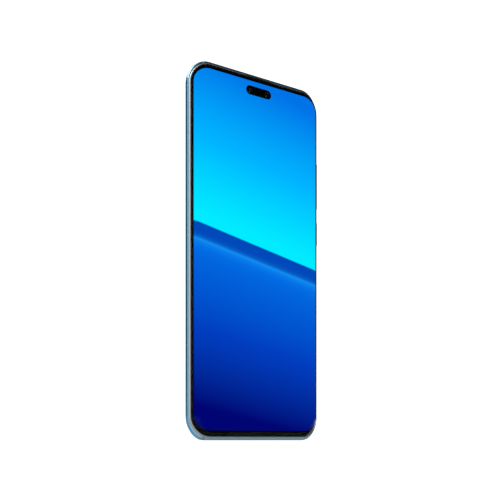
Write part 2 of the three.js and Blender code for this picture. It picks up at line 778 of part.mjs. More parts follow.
add('usb_shell', usbShell(), 'steel');
add('usb_tongue', usbTongue(), 'blackPlastic');
add('sim_tray', simTray(), 'frame');
add('sim_seal', simSeal(), 'rubber');
add('sim_reader', simReader(), 'steel');
add('eject_rod', ejectRod(), 'steel');
add('eject_lever', ejectLever(), 'steel');

add('volume_key', key(VOLUME, [-VOLUME.domeSpread, VOLUME.domeSpread]), 'frame');
add('power_key', key(POWER, [0]), 'frame');
add('key_flex', keyFlex(), 'flex');
add('dome_volume_up', dome(VOLUME.z + VOLUME.domeSpread), 'steel');
add('dome_volume_down', dome(VOLUME.z - VOLUME.domeSpread), 'steel');
add('dome_power', dome(POWER.z), 'steel');

add('rear_cover', rearCover(), 'cover');
add('rear_gasket', rearGasket(), 'rubber');
add('camera_island', cameraIsland(), 'frame');
add('main_lens_window', lensWindow(MAIN_LENS, 8.75), 'glass');
add('wide_lens_window', lensWindow(WIDE_LENS, 8.75), 'glass');
add('macro_lens_window', lensWindow(MACRO_LENS, 8.75), 'glass');
add('flash_window', lensWindow(FLASH, ISLAND_TOP), 'glass');
add('main_camera_housing', mainCameraHousing(), 'blackPlastic');
add('main_lens_barrel', mainLensBarrel(), 'blackPlastic');
add('wide_camera', rearCamera(WIDE_LENS, 5, 3.2), 'blackPlastic');
add('macro_camera', rearCamera(MACRO_LENS, 3, 1.5), 'blackPlastic');

export default phone;
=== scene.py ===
import math

import bmesh
import bpy
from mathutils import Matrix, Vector


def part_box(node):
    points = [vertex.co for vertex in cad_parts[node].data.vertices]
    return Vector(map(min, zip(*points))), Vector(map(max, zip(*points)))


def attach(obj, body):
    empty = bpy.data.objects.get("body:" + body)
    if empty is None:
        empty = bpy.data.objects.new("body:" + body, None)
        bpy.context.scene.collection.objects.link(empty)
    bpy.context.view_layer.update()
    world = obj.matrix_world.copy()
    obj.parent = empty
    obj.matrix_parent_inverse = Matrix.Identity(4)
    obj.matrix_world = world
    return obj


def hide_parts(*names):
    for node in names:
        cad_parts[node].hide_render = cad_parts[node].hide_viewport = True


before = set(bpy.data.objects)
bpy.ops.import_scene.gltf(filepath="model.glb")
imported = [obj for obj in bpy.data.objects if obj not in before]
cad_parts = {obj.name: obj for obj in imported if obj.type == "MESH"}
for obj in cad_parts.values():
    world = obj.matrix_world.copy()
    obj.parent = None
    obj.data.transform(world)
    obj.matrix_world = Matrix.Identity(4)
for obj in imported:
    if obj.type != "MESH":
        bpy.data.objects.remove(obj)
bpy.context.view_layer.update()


# Cover glass: a sheet of toughened aluminosilicate, ground and slumped so that both long sides
# roll away towards the frame. It lies in the frame's front recess on a thin line of glue.

# Sizes are in millimetres. A place is given as x from the middle of the phone, depth back
# from the front of the glass, and height. The long sides and the ends have their own sections,
# as (inset, depth) pairs, and a corner turns smoothly from one to the other.
frame_low, frame_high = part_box("side_frame")
MIDDLE = (frame_low.x + frame_high.x) * 500
HALF_WIDTH = (frame_high.x - frame_low.x) * 500
LENGTH = frame_high.z * 1000
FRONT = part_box("cover_glass")[0].y * 1000
CORNER = 10.3
CORNER_STEPS = 14


def place(x, depth, z):
    """A point in metres"""
    return ((x + MIDDLE) / 1000, (FRONT + depth) / 1000, z / 1000)


def on_edge(edge, angle, back=1):
    """Where a rounded edge is at an angle: 90 on the flat face, 0 at the widest"""
    inset, depth, across, deep = edge
    turned = math.radians(angle)
    return (inset - across * math.cos(turned), depth - back * deep * math.sin(turned))


def rolled(side, end, start, stop, steps, back=1):
    """Sections along a rounded edge, as pairs for the long sides and the ends"""
    angles = [start + (stop - start) * step / steps for step in range(steps + 1)]
    return [(on_edge(side, angle, back), on_edge(end, angle, back)) for angle in angles]


def outline(section):
    """The phone's outline at one section, as a loop of points"""
    (side_inset, side_depth), (end_inset, end_depth) = section
    points = []
    for corner, (side, up) in enumerate([(1, 1), (-1, 1), (-1, -1), (1, -1)]):
        for step in range(CORNER_STEPS + 1):
            share = step / CORNER_STEPS
            turned = math.radians(90 * (share if side * up > 0 else 1 - share))
            depth = side_depth * math.cos(turned) ** 2 + end_depth * math.sin(turned) ** 2
            x = HALF_WIDTH - CORNER + (CORNER - side_inset) * math.cos(turned)
            z = LENGTH / 2 - CORNER + (CORNER - end_inset) * math.sin(turned)
            points.append((side * x, depth, LENGTH / 2 + up * z))
    return points


def joined(loops, ring=False):
    """Points and faces of a skin over loops: a ring closes on itself, anything else has two lids"""
    count = len(loops[0])
    points = [point for loop in loops for point in loop]
    faces = []
    for row in range(len(loops) if ring else len(loops) - 1):
        start, other = row * count, (row + 1) % len(loops) * count
        for i in range(count):
            j = (i + 1) % count
            faces.append((start + i, start + j, other + j, other + i))
    if not ring:
        faces.append(tuple(range(count)))
        faces.append(tuple(range(len(points) - count, len(points))))
    return points, faces


def make(name, *shapes, sharp=32):
    """An object from (points, faces, material) shapes"""
    mesh = bpy.data.meshes.new(name)
    build = bmesh.new()
    finishes = []
    for points, faces, finish in shapes:
        if finish not in finishes:
            finishes.append(finish)
            mesh.materials.append(finish)
        corners = [build.verts.new(place(*point)) for point in points]
        for face in faces:
            made = build.faces.new([corners[i] for i in face])
            made.material_index = finishes.index(finish)
            made.smooth = True
    bmesh.ops.remove_doubles(build, verts=build.verts, dist=1e-6)
    bmesh.ops.recalc_face_normals(build, faces=build.faces)
    build.to_mesh(mesh)
    build.free()
    mesh.set_sharp_from_angle(angle=math.radians(sharp))
    made = bpy.data.objects.new(name, mesh)
    bpy.context.scene.collection.objects.link(made)
    return made


def fit(piece, body, slot, *nodes):
    """The piece moves with a body and stands for these CAD solids"""
    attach(piece, body)
    if nodes:
        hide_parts(*nodes)


def linear(code):
    """A colour from its sRGB hex code"""
    parts = [int(code[i:i + 2], 16) / 255 for i in (1, 3, 5)]
    return [p / 12.92 if p <= 0.04045 else ((p + 0.055) / 1.055) ** 2.4 for p in parts] + [1]


def wire(material, node, inputs):
    """Sets a node's inputs, each to a value or from another node's output"""
    for key, value in inputs.items():
        if isinstance(value, bpy.types.NodeSocket):
            material.node_tree.links.new(value, node.inputs[key])
        else:
            node.inputs[key].default_value = value


def add(material, kind, inputs, **settings):
    """Adds a node with its settings and links, and returns it"""
    node = material.node_tree.nodes.new("ShaderNode" + kind)
    for key, value in settings.items():
        setattr(node, key, value)
    wire(material, node, inputs)
    return node


def start_finish(name, inputs):
    """A new material, with plain values on its shader"""
    material = bpy.data.materials.new(name)
    material.use_nodes = True
    shader = material.node_tree.nodes["Principled BSDF"]
    wire(material, shader, inputs)
    return material, shader


def shades(node, stops):
    """Gives a colour ramp its (position, hex code) stops"""
    ramp = node.color_ramp
    while len(ramp.elements) < len(stops):
        ramp.elements.new(0.5)
    for element, (position, code) in zip(ramp.elements, stops):
        element.position = position
        element.color = linear(code)


# Polished glass with an anti-reflection coat: nearly perfectly clear, with the faintest uneven
# sheen left by polishing. The low index stands for the coat, which takes most of the glare away.
toughened_glass, shader = start_finish("toughened coated glass", {
    "Base Color": linear("#ffffff"),
    "IOR": 1.18,
    "Transmission Weight": 1.0,
})
where = add(toughened_glass, "TexCoord", {})
haze = add(toughened_glass, "TexNoise", {"Vector": where.outputs["Object"], "Scale": 60.0, "Detail": 3.0})
polish = add(toughened_glass, "MapRange", {
    "Value": haze.outputs["Fac"],
    "To Min": 0.0,
    "To Max": 0.02,
})
wire(toughened_glass, shader, {"Roughness": polish.outputs["Result"]})

GLASS_SIDE = (5, 2.6, 4.4, 2.6)
GLASS_END = (2.9, 0.9, 1.4, 0.9)
GLASS_WALL = 0.55
GLASS_RIM = 20


def inside(edge, wall):
    """The same rounded edge on the other face of a sheet"""
    return (edge[0], edge[1], edge[2] - wall, edge[3] - wall)


UNDER_SIDE = inside(GLASS_SIDE, GLASS_WALL)
UNDER_END = inside(GLASS_END, GLASS_WALL)
outer = rolled(GLASS_SIDE, GLASS_END, 90, GLASS_RIM, 18)
under = rolled(UNDER_SIDE, UNDER_END, GLASS_RIM, 90, 14)
flat_front = ((6.2, 0), (4.1, 0))
flat_back = ((6.2, GLASS_WALL), (4.1, GLASS_WALL))
loops = [outline(section) for section in [flat_front, *outer, *under, flat_back]]
cover_glass = make("cover_glass_sheet", (*joined(loops), toughened_glass))
fit(cover_glass, "phone_body", "cover_glass", "cover_glass")


# Printed border: black ceramic ink screened on the underside of the glass, all round the
# picture and round the two front lenses. It hides the glue and the panel's edge.

# Bonded to the glass, so it has no gloss of its own.
ink, shader = start_finish("screen-printed black ink", {"Specular IOR Level": 0.0})
where = add(ink, "TexCoord", {})
grain = add(ink, "TexNoise", {"Vector": where.outputs["Object"], "Scale": 2500.0, "Detail": 2.0})
tone = add(ink, "ValToRGB", {"Fac": grain.outputs["Fac"]})
shades(tone, [(0.3, "#020203"), (0.7, "#060607")])
rough = add(ink, "MapRange", {"Value": grain.outputs["Fac"], "To Min": 0.35, "To Max": 0.5})
wire(ink, shader, {"Base Color": tone.outputs["Color"], "Roughness": rough.outputs["Result"]})

PICTURE_SIDE_INSET = 1.92
PICTURE_END_INSET = 3.64
PICTURE_LIFT = 0.42
PILL_Z = 151.8
PILL_HALF = (7.0, 1.95)
LENS_SPREAD = 4.7


def glass_underside(x, z):
    """Depth of the underside of the glass over a place on the phone"""
    across = abs(x) - (HALF_WIDTH - CORNER)
    along = abs(z - LENGTH / 2) - (LENGTH / 2 - CORNER)
    low, high = 0, 90
    for _ in range(24):
        angle = (low + high) / 2
        side, end = on_edge(UNDER_SIDE, angle), on_edge(UNDER_END, angle)
        reach_x, reach_z = max(across, 0) / (CORNER - side[0]), max(along, 0) / (CORNER - end[0])
        if reach_x ** 2 + reach_z ** 2 > 1:
            high = angle
        else:
            low = angle
    total = reach_x ** 2 + reach_z ** 2
    share = reach_z ** 2 / total if total else 0
    return side[1] * (1 - share) + end[1] * share


def laid_under(side_inset, end_inset, lift, gap):
    """The phone's outline at these insets, lifted a little and lying a gap behind the glass"""
    loop = [(x, z + lift) for x, _, z in outline(((side_inset, 0), (end_inset, 0)))]
    return [(x, glass_underside(x, z) + gap, z) for x, z in loop]


border_loops = []
for step in range(13):
    share = step / 12
    side_inset = PICTURE_SIDE_INSET + 0.12 - 0.5 * share
    end_inset = PICTURE_END_INSET + 0.12 - 1.64 * share
    border_loops.append(laid_under(side_inset, end_inset, PICTURE_LIFT * (1 - share), 0.03))
border_loops.append(outline(((1.39, 1.94), (2.11, 0.82))))
border_loops.append(outline(((1.12, 1.84), (1.59, 0.625))))
points, faces = joined(border_loops)
border = make("printed_border", (points, faces[:-2], ink))
fit(border, "phone_body", "black_plastic")


def rounded(half_u, half_v, radius, steps):
    """Outline of a rectangle with round corners"""
    points = []
    for corner, (u, v) in enumerate([(1, 1), (-1, 1), (-1, -1), (1, -1)]):
        for step in range(steps + 1):
            angle = math.radians(90 * (corner + step / steps))
            points.append((
                u * (half_u - radius) + radius * math.cos(angle),
                v * (half_v - radius) + radius * math.sin(angle),
            ))
    return points


def stack(facing, centre, half, radius, rows, steps=8, ring=False):
    """A piece with a rounded outline from (inset, distance) rows, facing the front, an end or a side"""
    loops = []
    for inset, distance in rows:
        flat = rounded(half[0] - inset, half[1] - inset, max(radius - inset, 0.01), steps)
        flat = [(centre[0] + u, centre[1] + v) for u, v in flat]
        if facing == "front":
            loops.append([(u, distance, v) for u, v in flat])
        elif facing == "end":
            loops.append([(u, v, distance) for u, v in flat])
        else:
            loops.append([(distance, u, v) for u, v in flat])
    return joined(loops, ring)


def eased(span, start, stop, steps=4):
    """Rows for a plain thickness whose edges are rounded by start and stop"""
    rows = []
    for step in range(steps + 1 if start else 1):
        turned = math.radians(90 * step / steps)
        rows.append((start * (1 - math.sin(turned)), span[0] + start * (1 - math.cos(turned))))
    for step in range(steps + 1 if stop else 1):
        turned = math.radians(90 * (1 - step / steps))
        rows.append((stop * (1 - math.sin(turned)), span[1] - stop * (1 - math.cos(turned))))
    return rows


def carve(piece, shapes, operation="DIFFERENCE"):
    """Cuts (points, faces) shapes out of a piece, or keeps what is common"""
    for points, faces in shapes:
        tool = make("cutter", (points, faces, piece.data.materials[0]))
        boolean = piece.modifiers.new("cut", "BOOLEAN")
        boolean.operation = operation
        boolean.solver = "EXACT"
        boolean.object = tool
        ready = piece.evaluated_get(bpy.context.evaluated_depsgraph_get())
        mesh = bpy.data.meshes.new_from_object(ready)
        piece.modifiers.clear()
        piece.data = mesh
        bpy.data.objects.remove(tool)
    piece.data.set_sharp_from_angle(angle=math.radians(32))


mask = make("lens_mask", (
    *stack("front", (0, PILL_Z), PILL_HALF, 1.95, [(0, 0.58), (0, 0.66)], steps=12), ink))
carve(mask, [
    stack("front", (side * LENS_SPREAD, PILL_Z), (1.3, 1.3), 1.3, [(0, 0.4), (0, 0.8)], steps=8)
    for side in (-1, 1)
])
fit(mask, "phone_body", "black_plastic")


# Display: an OLED panel laminated to the glass and wrapped round both long sides. It glows
# on its own, so its finish is only light: two plain blue gradients with a slanting band between.

BAND_TOP = 84.5
BAND_BOTTOM = 77.5
BAND_LEAN = -0.2
EDGE_BLUR = 0.3

lit_panel, shader = start_finish("lit OLED panel", {
    "Base Color": linear("#000000"),
    "Roughness": 0.4,
    "Specular IOR Level": 0.0,
    "Emission Strength": 1.03,
})
where = add(lit_panel, "TexCoord", {})
in_mm = add(lit_panel, "Mapping", {"Vector": where.outputs["Object"], "Scale": (1000, 1000, 1000)})
across = add(lit_panel, "SeparateXYZ", {0: in_mm.outputs[0]})
shift = add(lit_panel, "Math", {0: across.outputs["X"], 1: -BAND_LEAN}, operation="MULTIPLY")
height = add(lit_panel, "Math", {0: across.outputs["Z"], 1: shift.outputs[0]}, operation="ADD").outputs[0]


def climb(low, high):
    """Rises from 0 to 1 between two heights, measured along the slant in millimetres"""
    rise = add(lit_panel, "MapRange", {"Value": height, "From Min": low, "From Max": high})
    return rise.outputs["Result"]


def glow(edge, above_reach, below_reach, peak):
    """Light that falls off on both sides of a slanting edge"""
    above = add(lit_panel, "Math", {0: height, 1: edge}, operation="SUBTRACT").outputs[0]
    upward = add(lit_panel, "Math", {0: above, 1: -1 / above_reach}, operation="MULTIPLY")
    downward = add(lit_panel, "Math", {0: above, 1: 1 / below_reach}, operation="MULTIPLY")
    nearest = add(lit_panel, "Math", {0: upward.outputs[0], 1: downward.outputs[0]}, operation="MINIMUM")
    falling = add(lit_panel, "Math", {0: nearest.outputs[0]}, operation="EXPONENT")
    return add(lit_panel, "Math", {0: falling.outputs[0], 1: peak}, operation="MULTIPLY").outputs[0]


lower_tone = add(lit_panel, "ValToRGB", {"Fac": climb(0, 80)})
shades(lower_tone, [(0.1, "#000473"), (0.5, "#003dbe"), (0.95, "#006ae2")])
upper_tone = add(lit_panel, "ValToRGB", {"Fac": climb(80, 160)})
shades(upper_tone, [(0.1, "#00eaff"), (0.5, "#00b4ff"), (0.95, "#0072e7")])
with_band = add(lit_panel, "Mix", {
    0: climb(BAND_BOTTOM - EDGE_BLUR, BAND_BOTTOM + EDGE_BLUR),
    6: lower_tone.outputs["Color"],
    7: linear("#0047b8"),
}, data_type="RGBA")
lit_edge = add(lit_panel, "Mix", {
    0: glow(BAND_BOTTOM, 0.9, 1.8, 0.7), 6: with_band.outputs[2], 7: linear("#169bfa"),
}, data_type="RGBA")
wallpaper = add(lit_panel, "Mix", {
    0: climb(BAND_TOP - EDGE_BLUR, BAND_TOP + EDGE_BLUR),
    6: lit_edge.outputs[2],
    7: upper_tone.outputs["Color"],
}, data_type="RGBA")
wire(lit_panel, shader, {"Emission Color": wallpaper.outputs[2]})

# Black polymer film behind the light-emitting layer.
panel_back, shader = start_finish("black polymer film", {"Roughness": 0.55})
where = add(panel_back, "TexCoord", {})
grain = add(panel_back, "TexNoise", {"Vector": where.outputs["Object"], "Scale": 900.0, "Detail": 2.0})
tone = add(panel_back, "ValToRGB", {"Fac": grain.outputs["Fac"]})
shades(tone, [(0.3, "#08090a"), (0.7, "#111315")])
wire(panel_back, shader, {"Base Color": tone.outputs["Color"]})

PANEL_THICK = 0.4
picture_loops = []
for inward in (0, 0.3, 0.7, 1.2, 1.8, 2.5, 3.6):
    picture_loops.append(laid_under(
        PICTURE_SIDE_INSET + inward, PICTURE_END_INSET + inward / 2, PICTURE_LIFT, 0.06))
points, faces = joined(picture_loops)
back_points = [(x, depth + PANEL_THICK, z) for x, depth, z in points]
edge_points, edge_faces = joined([picture_loops[0], back_points[:len(picture_loops[0])]])
display = make(
    "display_panel_lit",
    (points, faces[:-2] + faces[-1:], lit_panel),
    (back_points, faces[:-2] + faces[-1:], panel_back),
    (edge_points, edge_faces[:-2], panel_back),
)
carve(display, [stack("front", (0, PILL_Z), PILL_HALF, 1.95, [(0, 0.3), (0, 2)], steps=12)])
fit(display, "phone_body", "display", "display_panel")


# Bezel ring: a grey moulded ring between the rim of the glass and the metal, which keeps the
# glass off the frame. A slot at the top lets out the sound of the earpiece.

def moulded(name, dark, light, grain, roughness):
    """Injection-moulded plastic: a fine even grain in colour, gloss and height"""
    material, shader = start_finish(name, {"IOR": 1.5})
    where = add(material, "TexCoord", {})
    speck = add(material, "TexNoise", {
        "Vector": where.outputs["Object"], "Scale": 1000 / grain, "Detail": 3.0,
    })
    tone = add(material, "ValToRGB", {"Fac": speck.outputs["Fac"]})
    shades(tone, [(0.3, dark), (0.7, light)])
    rough = add(material, "MapRange", {
        "Value": speck.outputs["Fac"], "To Min": roughness - 0.08, "To Max": roughness + 0.08,
    })
    bump = add(material, "Bump", {
        "Height": speck.outputs["Fac"], "Strength": 0.12, "Distance": 0.00002,
    })
    wire(material, shader, {
        "Base Color": tone.outputs["Color"],
        "Roughness": rough.outputs["Result"],
        "Normal": bump.outputs["Normal"],
    })
    return material


bezel_plastic = moulded("silver-filled satin PBT", "#bfc1c3", "#c9cbcd", 0.4, 0.42)
# The silver filler makes it shine more like metal than plain plastic does.
bezel_plastic.node_tree.nodes["Principled BSDF"].inputs["Metallic"].default_value = 0.7
ring_sections = [
    ((0.83, 1.8), (1.54, 0.7)), ((0.72, 1.83), (1.48, 0.74)), ((0.62, 1.93), (1.38, 0.84)),
    ((0.42, 2.33), (1.2, 1.1)), ((2.2, 2.33), (2.9, 1.1)), ((2.2, 2.05), (2.9, 0.92)),
    ((1.5, 2.05), (2.2, 0.87)), ((0.92, 1.83), (1.64, 0.72)),
]
bezel = make("bezel_ring_moulded", (
    *joined([outline(section) for section in ring_sections], ring=True), bezel_plastic))
EARPIECE = (0, LENGTH - 1.37)
EARPIECE_HALF = 7.2
carve(bezel, [stack("front", EARPIECE, (EARPIECE_HALF, 0.28), 0.27, [(0, 0.2), (0, 1.04)], steps=6)])
fit(bezel, "phone_body", "grey_plastic", "bezel_ring")

# Woven stainless wire, finer than the eye picks out, so it is drawn at a 0.16 mm pitch.
woven_steel, shader = start_finish("woven stainless mesh", {"Metallic": 1.0, "Roughness": 0.4})
where = add(woven_steel, "TexCoord", {})
weave = add(woven_steel, "TexVoronoi", {
    "Vector": where.outputs["Object"], "Scale": 1000 / 0.16, "Randomness": 0.0,
}, feature="DISTANCE_TO_EDGE")
tone = add(woven_steel, "ValToRGB", {"Fac": weave.outputs["Distance"]})
shades(tone, [(0.1, "#76797c"), (0.3, "#1b1c1e")])
bump = add(woven_steel, "Bump", {"Height": weave.outputs["Distance"], "Strength": 0.6, "Distance": 0.00004})
wire(woven_steel, shader, {"Base Color": tone.outputs["Color"], "Normal": bump.outputs["Normal"]})

earpiece_mesh = make("earpiece_mesh_woven", (
    *stack("front", EARPIECE, (EARPIECE_HALF - 0.1, 0.2), 0.19, eased((0.92, 1.02), 0.04, 0), steps=6),
    woven_steel,
))
fit(earpiece_mesh, "phone_body", "steel", "earpiece_mesh")


# Front cameras: two small modules under the pill-shaped gap in the picture. Each is a black
# barrel of stepped baffles with a coated glass lens on top.

camera_black = moulded("matt black LCP", "#0b0c0d", "#131416", 0.5, 0.5)

# Optical glass with a blue-violet anti-reflection coating, over a dark barrel. The coating's blue reflection
# is painted into its colour: bluer where the lens is seen at a slant, and near black where it is seen head
# on.
coated_lens, shader = start_finish("coated optical glass", {
    "IOR": 1.6,
    "Roughness": 0.05,
    "Coat Weight": 1.0,
    "Coat Roughness": 0.03,
})
# Painted reflection: the colour turns bluer as the surface turns away from the view.
painted_sheen_facing = add(coated_lens, "LayerWeight", {"Blend": 0.35})
tone = add(coated_lens, "ValToRGB", {"Fac": painted_sheen_facing.outputs["Facing"]})
shades(tone, [(0.0, "#05070d"), (0.5, "#141a3a"), (1.0, "#2b3566")])
wire(coated_lens, shader, {"Base Color": tone.outputs["Color"]})


def lens_barrel(x, z, radius, top, bottom, back):
    """A barrel with three stepped baffles and a domed lens, opening to the back or the front"""
    steps = [
        (0, bottom), (0, top), (0.12 * radius, top), (0.14 * radius, top - 0.12 * back),
        (0.28 * radius, top - 0.16 * back), (0.3 * radius, top - 0.3 * back),
        (0.42 * radius, top - 0.34 * back), (0.44 * radius, top - 0.5 * back),
    ]
    dome = []
    for step in range(7):
        share = step / 6
        height = top - back * (0.5 - 0.22 * math.sin(math.pi / 2 * share))
        dome.append((radius * (0.45 + 0.54 * share), height))
    return [
        (*stack("front", (x, z), (radius, radius), radius, steps, steps=12), camera_black),
        (*stack("front", (x, z), (radius, radius), radius, dome, steps=12), coated_lens),
    ]


for side, place_name in ((-1, "left"), (1, "right")):
    x = side * LENS_SPREAD
    camera = make(
        f"front_camera_{place_name}_module",
        (*stack("front", (x, PILL_Z), (3.5, 3.3), 0.6, eased((2.7, 5.4), 0.12, 0.12)), camera_black),
        *lens_barrel(x, PILL_Z, 1.5, 0.72, 2.9, -1),
    )
    fit(camera, "phone_body", "black_plastic", f"front_camera_{place_name}")


# Side frame: a thin ring of die-cast aluminium, lacquered blue and polished to a gloss, with a painted pale
# highlight on its faces.
# The port, card tray, sound holes and key slots are milled through it, each with a broken edge.

# Clear lacquer over a blue metallic coat. Its colour is painted by which way the surface faces: a painted
# highlight makes the faces and the front edge pale, and painted shade makes the outer sides a deeper teal.
frame_lacquer, shader = start_finish("blue metallic lacquer with painted sheen and shade", {
    "Metallic": 0.85,
    "Coat Weight": 0.4,
    "Coat Roughness": 0.08,
})
where = add(frame_lacquer, "TexCoord", {})
flake = add(frame_lacquer, "TexNoise", {"Vector": where.outputs["Object"], "Scale": 4000.0, "Detail": 2.0})
drift = add(frame_lacquer, "TexNoise", {"Vector": where.outputs["Object"], "Scale": 40.0, "Detail": 1.0})
mixed = add(frame_lacquer, "Math", {0: flake.outputs["Fac"], 1: drift.outputs["Fac"]}, operation="ADD")
tone = add(frame_lacquer, "ValToRGB", {"Fac": mixed.outputs[0]})
shades(tone, [(0.6, "#a4d4ec"), (1.0, "#b6e0f4")])
# Painted highlight and shade: surfaces facing front or back are painted pale, and surfaces facing sideways
# are painted deeper teal, as light would fall on them.
facing = add(frame_lacquer, "NewGeometry", {})
turned = add(frame_lacquer, "SeparateXYZ", {0: facing.outputs["Normal"]})
flat_on = add(frame_lacquer, "Math", {0: turned.outputs["Y"]}, operation="ABSOLUTE")
painted_sheen_share = add(frame_lacquer, "MapRange", {
    "Value": flat_on.outputs[0], "From Min": 0.1, "From Max": 0.6,
})
coat = add(frame_lacquer, "Mix", {
    0: painted_sheen_share.outputs["Result"], 6: linear("#4c9fcb"), 7: tone.outputs["Color"],
}, data_type="RGBA")
rough = add(frame_lacquer, "MapRange", {"Value": flake.outputs["Fac"], "To Min": 0.2, "To Max": 0.3})
bump = add(frame_lacquer, "Bump", {"Height": flake.outputs["Fac"], "Strength": 0.05, "Distance": 0.00001})
wire(frame_lacquer, shader, {
    "Base Color": coat.outputs[2],
    "Roughness": rough.outputs["Result"],
    "Normal": bump.outputs["Normal"],
})

FRONT_SIDE, FRONT_END = (0.35, 2.95, 0.35, 0.53), (1.12, 1.95, 1.12, 0.8)
REAR_SIDE, REAR_END = (0.35, 3.55, 0.35, 0.53), (0.6, 5.45, 0.6, 0.67)
WALL_SIDE, WALL_END = 3.4, 2.6
frame_sections = [
    *rolled(FRONT_SIDE, FRONT_END, 90, 0, 9),
    *rolled(REAR_SIDE, REAR_END, 0, 90, 7, back=-1),
    ((1.45, 4.08), (1.6, 6.12)), ((2.6, 5.5), (2, 6.1)), ((WALL_SIDE, 5.5), (WALL_END, 6.1)),
    ((WALL_SIDE, 2.42), (WALL_END, 1.16)),
]
frame_skin = joined([outline(section) for section in frame_sections], ring=True)
side_frame = make("side_frame_lacquered", (*frame_skin, frame_lacquer))

PORT_DEPTH = 3.7
PORT_HALF = (4.65, 1.65)
TRAY_X, TRAY_HALF = -19, (7.6, 1.0)
EJECT_X = -10
MIC_X = -6.8
HOLE_FROM, HOLE_PITCH, HOLE_COUNT, HOLE_RADIUS = 10.5, 2.6, 6, 0.8
INFRARED_X, INFRARED_RADIUS = 12, 1.3
TOP_MIC_X = 6
KEY_DEPTH, KEY_HALF_THICK = 3.25, 0.55
VOLUME_Z, VOLUME_HALF = 117, 10.5
POWER_Z, POWER_HALF = 95, 5.5
POCKET_LOW = POWER_Z - POWER_HALF - 1.4
POCKET_HIGH = VOLUME_Z + VOLUME_HALF + 1.4
BREAK = 0.12


def end_cut(x, half, radius, up, reach, steps=8):
    """A hole through the bottom or top of the frame, with its outer edge broken"""
    mouth, outward = (LENGTH, 1) if up else (0, -1)
    rows = [
        (0, mouth - outward * reach), (0, mouth - outward * BREAK),
        (-BREAK, mouth), (-BREAK, mouth + outward),
    ]
    return stack("end", (x, PORT_DEPTH), half, radius, rows, steps)


def key_cut(z, half):
    """A slot in the right side for a key"""
    size = (KEY_HALF_THICK + 0.06, half + 0.1)
    rows = [(0, HALF_WIDTH - 2), (0, HALF_WIDTH - 0.08), (-0.1, HALF_WIDTH + 0.02), (-0.1, HALF_WIDTH + 1)]
    return stack("side", (KEY_DEPTH, z), size, size[0], rows, 8)


BAND_X, BAND_HALF, BAND_INSET = 29.3, 0.6, 1.4


def band_block(side, up, gap):
    """Where an antenna band crosses the frame"""
    reach = (LENGTH - BAND_INSET - gap, LENGTH + 1) if up else (-1, BAND_INSET + gap)
    half = (BAND_HALF + gap, 3.6)
    return stack("end", (side * BAND_X, 3.6), half, 0.01, [(0, reach[0]), (0, reach[1])], 1)


holes = [
    end_cut(0, PORT_HALF, 1.65, False, 3.4, 10),
    end_cut(TRAY_X, (TRAY_HALF[0] + 0.06, TRAY_HALF[1] + 0.06), 1.06, False, 3.4, 10),
    end_cut(EJECT_X, (0.45, 0.45), 0.45, False, 3.4, 5),
    end_cut(MIC_X, (0.45, 0.45), 0.45, False, 3.4, 5),
    end_cut(INFRARED_X, (INFRARED_RADIUS + 0.05, INFRARED_RADIUS + 0.05), 1.35, True, 3.4, 8),
    end_cut(TOP_MIC_X, (0.45, 0.45), 0.45, True, 3.4, 5),
    key_cut(VOLUME_Z, VOLUME_HALF),
    key_cut(POWER_Z, POWER_HALF),
    stack("side", (KEY_DEPTH + 0.25, (POCKET_LOW + POCKET_HIGH) / 2), (0.95, (POCKET_HIGH - POCKET_LOW) / 2),
          0.1, [(0, HALF_WIDTH - 4), (0, HALF_WIDTH - 1.5)], 1),
]
for hole in range(HOLE_COUNT):
    size = (HOLE_RADIUS, HOLE_RADIUS)
    holes.append(end_cut(HOLE_FROM + hole * HOLE_PITCH, size, HOLE_RADIUS, False, 3.4, 6))
for side in (-1, 1):
    for up in (False, True):
        holes.append(band_block(side, up, 0))
carve(side_frame, holes)
fit(side_frame, "phone_body", "frame_metal", "side_frame")

# Antenna bands: glass-filled nylon shot into four gaps, which let the radio out of the metal.
band_nylon = moulded("pale blue filled nylon", "#86aab9", "#92b5c3", 0.3, 0.45)
for side, side_name in ((-1, "left"), (1, "right")):
    for up, up_name in ((False, "bottom"), (True, "top")):
        band = make(f"antenna_band_{up_name}_{side_name}_moulded", (*frame_skin, band_nylon))
        carve(band, [band_block(side, up, -0.01)], "INTERSECT")
        fit(band, "phone_body", "antenna_band", f"antenna_band_{up_name}_{side_name}")

# Infrared window: a dark red-black plug that looks solid but lets the remote's light through.
infrared_plug = moulded("smoked polycarbonate", "#14090c", "#1d0d11", 0.8, 0.15)
window = make("infrared_window_moulded", (
    *stack("end", (INFRARED_X, PORT_DEPTH), (INFRARED_RADIUS, INFRARED_RADIUS), INFRARED_RADIUS,
           eased((LENGTH - 2.2, LENGTH - 0.08), 0, 0.12), 10),
    infrared_plug,
))
fit(window, "phone_body", "black_plastic", "infrared_window")


# Keys: two bars of the same lacquered metal as the frame, standing 0.4 mm proud of it. A wide
# flange behind the slot keeps each one in, and small nubs press on the domes behind.

def key(name, z, half, nubs):
    """A key with its flange and its nubs"""
    cap = stack("side", (KEY_DEPTH, z), (KEY_HALF_THICK, half), KEY_HALF_THICK,
                eased((HALF_WIDTH - 1.75, HALF_WIDTH + 0.4), 0, 0.16), 8)
    flange = stack("side", (KEY_DEPTH + 0.15, z), (KEY_HALF_THICK + 0.15, half + 0.7), 0.2,
                   eased((HALF_WIDTH - 2.2, HALF_WIDTH - 1.74), 0.05, 0), 3)
    shapes = [(*cap, frame_lacquer), (*flange, camera_black)]
    for offset in nubs:
        nub = stack("side", (KEY_DEPTH, z + offset), (0.4, 0.8), 0.2,
                    eased((HALF_WIDTH - 2.7, HALF_WIDTH - 2.19), 0.1, 0), 4)
        shapes.append((*nub, camera_black))
    return make(name, *shapes)


volume_key = key("volume_key_bar", VOLUME_Z, VOLUME_HALF, (-6.5, 6.5))
fit(volume_key, "volume_key", "frame_metal", "volume_key")
power_key = key("power_key_bar", POWER_Z, POWER_HALF, (0,))
fit(power_key, "power_key", "frame_metal", "power_key")


# Charging port: a drawn stainless shell with a black tongue down its middle, which carries
# gold-plated contacts on both faces.

